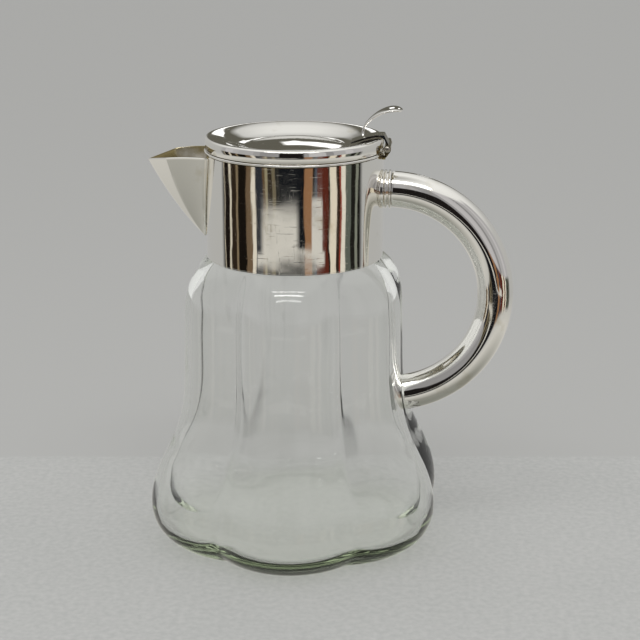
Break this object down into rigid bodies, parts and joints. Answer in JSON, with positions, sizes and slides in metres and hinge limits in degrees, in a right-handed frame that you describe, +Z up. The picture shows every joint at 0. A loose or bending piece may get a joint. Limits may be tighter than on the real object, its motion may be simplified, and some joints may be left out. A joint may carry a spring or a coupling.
{
  "type": "lidded glass jug",
  "caption": "Lobed clear glass water jug with a plated metal collar, folded pouring spout, hinged dished lid with a thumbpiece, and a bent tube handle.",
  "frame": {"origin": "on the axis of the glass body, at its flat underside", "axes": "+X from the axis towards the handle, -X towards the spout, +Z up along the axis of the glass, collar and lid"},
  "size_m": [0.2179, 0.1852, 0.2662],
  "materials": {
    "clear_glass": "mould-blown clear soda-lime glass, fire-polished, faintly green at thick edges",
    "silver_plate": "hand-polished silver plate over brass, fine wiping scratches",
    "silver_patina": "silver plate with a thin yellow-grey tarnish where it is seldom polished",
    "pin_metal": "drawn nickel silver, dull",
    "neck_cement": "matt plaster cement",
    "pad_resin": "matt dark setting compound"
  },
  "bodies": {
    "jug": {"glass_body": "clear_glass", "neck_cement": "neck_cement", "collar_band": "silver_plate", "collar_rim_wire": "silver_plate", "spout_shell": "silver_patina", "hinge_leaf": "silver_plate", "hinge_pin": "pin_metal", "handle_tube": "silver_plate", "handle_socket": "silver_plate", "handle_bead_inner": "silver_plate", "handle_bead_outer": "silver_plate", "handle_end_plug": "pin_metal", "handle_pad": "pad_resin"},
    "lid": {"lid_shell": "silver_plate", "lid_locating_ring": "silver_patina", "hinge_strap": "silver_plate", "thumbpiece": "silver_plate"}
  },
  "joints": [
    {"name": "lid_hinge", "type": "hinge", "parent": "jug", "child": "lid", "pos_m": [0.0549, 0, 0.243], "axis": [0, 1, 0], "range_deg": [0, 110]}
  ]
}
